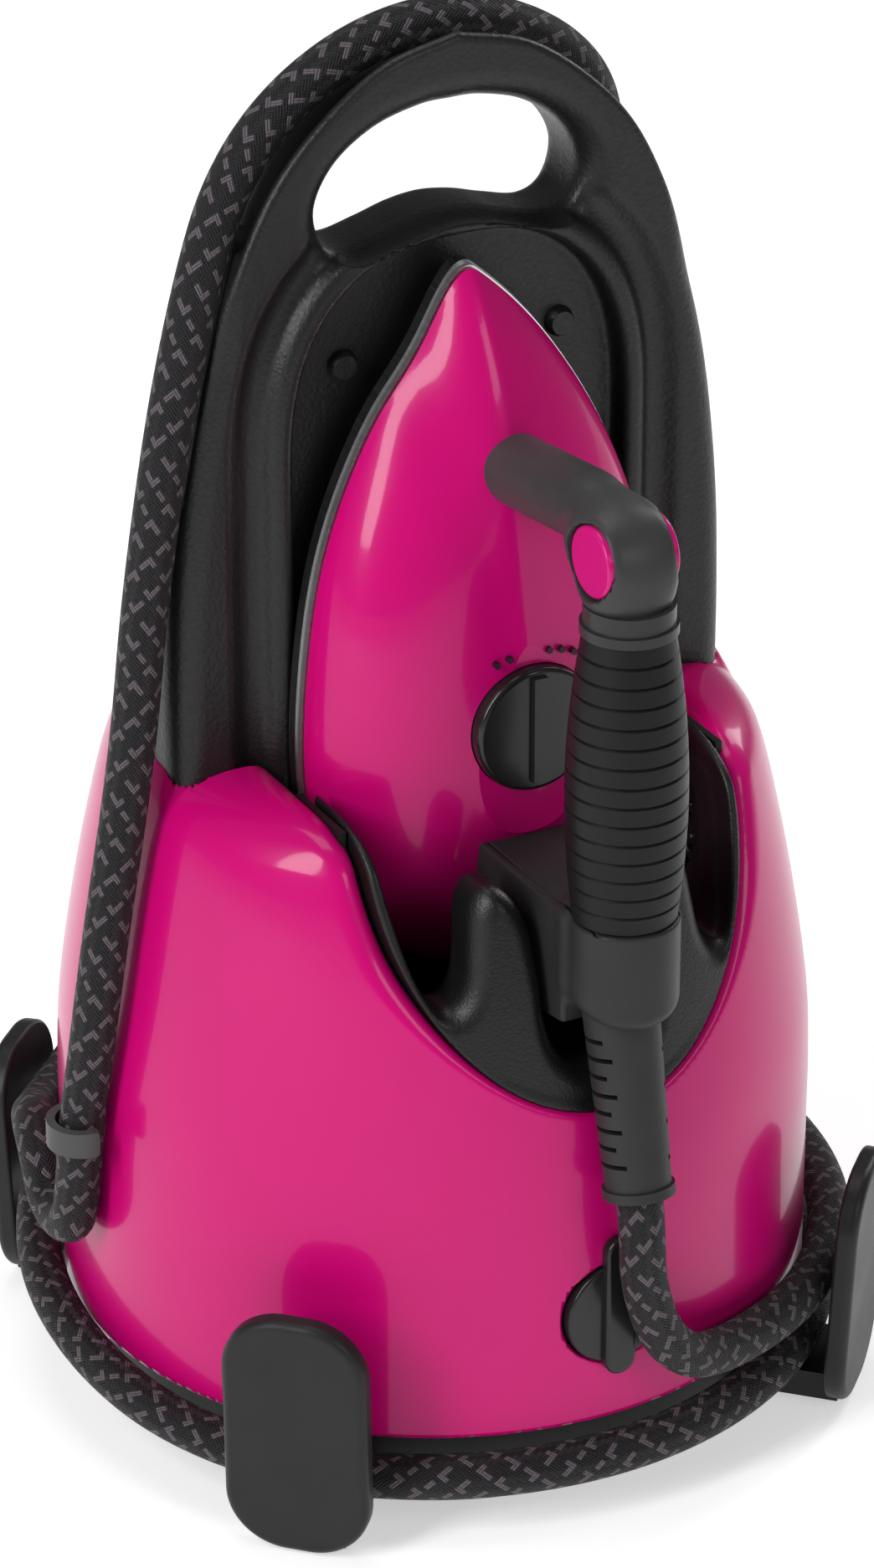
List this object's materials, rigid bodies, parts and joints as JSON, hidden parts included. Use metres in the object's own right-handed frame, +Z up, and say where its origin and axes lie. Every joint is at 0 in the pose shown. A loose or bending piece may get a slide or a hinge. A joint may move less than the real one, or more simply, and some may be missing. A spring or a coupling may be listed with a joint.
{
  "type": "garment steamer",
  "caption": "Bell-shaped steam ironing station with an upright carrying frame, a docked iron with a post handle, and a braided steam hose wound round hooks.",
  "frame": {"origin": "centre of the flat underside, on the floor", "axes": "+Z up along the frame and the body's axis; the iron, its handle and the drain knob face -Y; +X to the right seen from the iron's side"},
  "size_m": [0.2608, 0.2817, 0.4322],
  "materials": {
    "shell_pink": "high gloss",
    "cover_pink": "high gloss",
    "button_pink": "gloss",
    "frame_black": "leather grain, satin",
    "cradle_black": "fine texture",
    "hook_black": "satin",
    "black_base": "fine texture",
    "vent_black": "matt, perforated",
    "pad_rubber": "matt",
    "clip_grey": "satin",
    "knob_black": "satin gloss",
    "brass_fitting": "machined",
    "boiler_steel": "drawn",
    "heater_steel": "dull",
    "pump_black": "moulded",
    "board_green": "lacquered",
    "pipe_rubber": "silicone",
    "gland_black": "satin",
    "button_grey": "satin gloss",
    "switch_black": "moulded",
    "tank_smoke": "smoky, clear",
    "lid_black": "satin",
    "valve_grey": "moulded",
    "sole_grey": "anodised",
    "trim_chrome": "polished",
    "shield_black": "matt",
    "cast_aluminium": "cast",
    "dial_black": "satin gloss",
    "mark_white": "printed dots",
    "neck_grey": "satin",
    "collar_black": "satin",
    "grip_rubber": "ribbed, matt",
    "block_black": "satin",
    "relief_grey": "matt",
    "hose_braid": "braided yarn",
    "steel_screw": "zinc plated"
  },
  "bodies": {
    "station": {"base_plate": "black_base", "foot_pads": "pad_rubber", "hose_hook_front_left": "hook_black", "hose_hook_front_right": "hook_black", "hose_hook_rear_left": "hook_black", "hose_hook_rear_right": "hook_black", "outer_shell": "shell_pink", "shell_bridge": "shell_pink", "iron_cradle": "cradle_black", "vent_grilles": "vent_black", "frame_front": "frame_black", "frame_rear": "frame_black", "rest_studs": "frame_black", "frame_screws": "steel_screw", "hose_clip": "clip_grey", "drain_port": "brass_fitting", "boiler": "boiler_steel", "boiler_heater": "heater_steel", "pump": "pump_black", "solenoid_valve": "brass_fitting", "control_board": "board_green", "water_pipe": "pipe_rubber", "feed_pipe": "pipe_rubber", "outlet_pipe": "brass_fitting", "steam_pipe": "pipe_rubber", "hose_gland": "gland_black", "mains_gland": "gland_black", "power_switch": "switch_black", "tank_seat": "black_base", "hose_wrap": "hose_braid", "hose_rise": "hose_braid"},
    "iron": {"soleplate": "sole_grey", "trim_strip": "trim_chrome", "heat_shield": "shield_black", "steam_chamber": "cast_aluminium", "heating_element": "heater_steel", "iron_cover": "cover_pink", "iron_thermostat": "brass_fitting", "dial_marks": "mark_white", "handle_neck": "neck_grey", "steam_switch": "switch_black", "grip_collar": "collar_black", "grip_sleeve": "grip_rubber", "grip_core": "switch_black", "heel_block": "block_black", "strain_relief": "relief_grey", "hose_lead": "hose_braid"},
    "dial": {"dial": "dial_black"},
    "button_left": {"steam_button_left": "button_pink"},
    "button_right": {"steam_button_right": "button_pink"},
    "drain": {"drain_knob": "knob_black"},
    "tank": {"tank": "tank_smoke", "tank_valve": "valve_grey"},
    "lid": {"tank_lid": "lid_black"},
    "power": {"power_button": "button_grey"}
  },
  "joints": [
    {"name": "iron_lift", "type": "slide", "parent": "station", "child": "iron", "axis": [0, -0.0698, 0.9976], "range_m": [0, 0.05]},
    {"name": "dial_turn", "type": "hinge", "parent": "iron", "child": "dial", "pos_m": [0, -0.06, 0.233], "axis": [0, -1, 0], "range_deg": [-60, 60]},
    {"name": "steam_button_left_press", "type": "slide", "parent": "iron", "child": "button_left", "axis": [1, 0, 0], "range_m": [0, 0.0018], "stiffness_N_per_m": 800, "springref_m": -0.001},
    {"name": "steam_button_right_press", "type": "slide", "parent": "iron", "child": "button_right", "axis": [-1, 0, 0], "range_m": [0, 0.0018], "stiffness_N_per_m": 800, "springref_m": -0.001},
    {"name": "drain_turn", "type": "hinge", "parent": "station", "child": "drain", "pos_m": [0, -0.115, 0.066], "axis": [0, -1, 0], "range_deg": [0, 90]},
    {"name": "tank_lift", "type": "slide", "parent": "station", "child": "tank", "axis": [0, 0, 1], "range_m": [0, 0.12]},
    {"name": "tank_lid_hinge", "type": "hinge", "parent": "tank", "child": "lid", "pos_m": [0, 0.033, 0.2299], "axis": [1, 0, 0], "range_deg": [0, 95]},
    {"name": "power_press", "type": "slide", "parent": "station", "child": "power", "axis": [-0.9397, -0.342, 0], "range_m": [0, 0.0018], "stiffness_N_per_m": 800, "springref_m": -0.001}
  ]
}
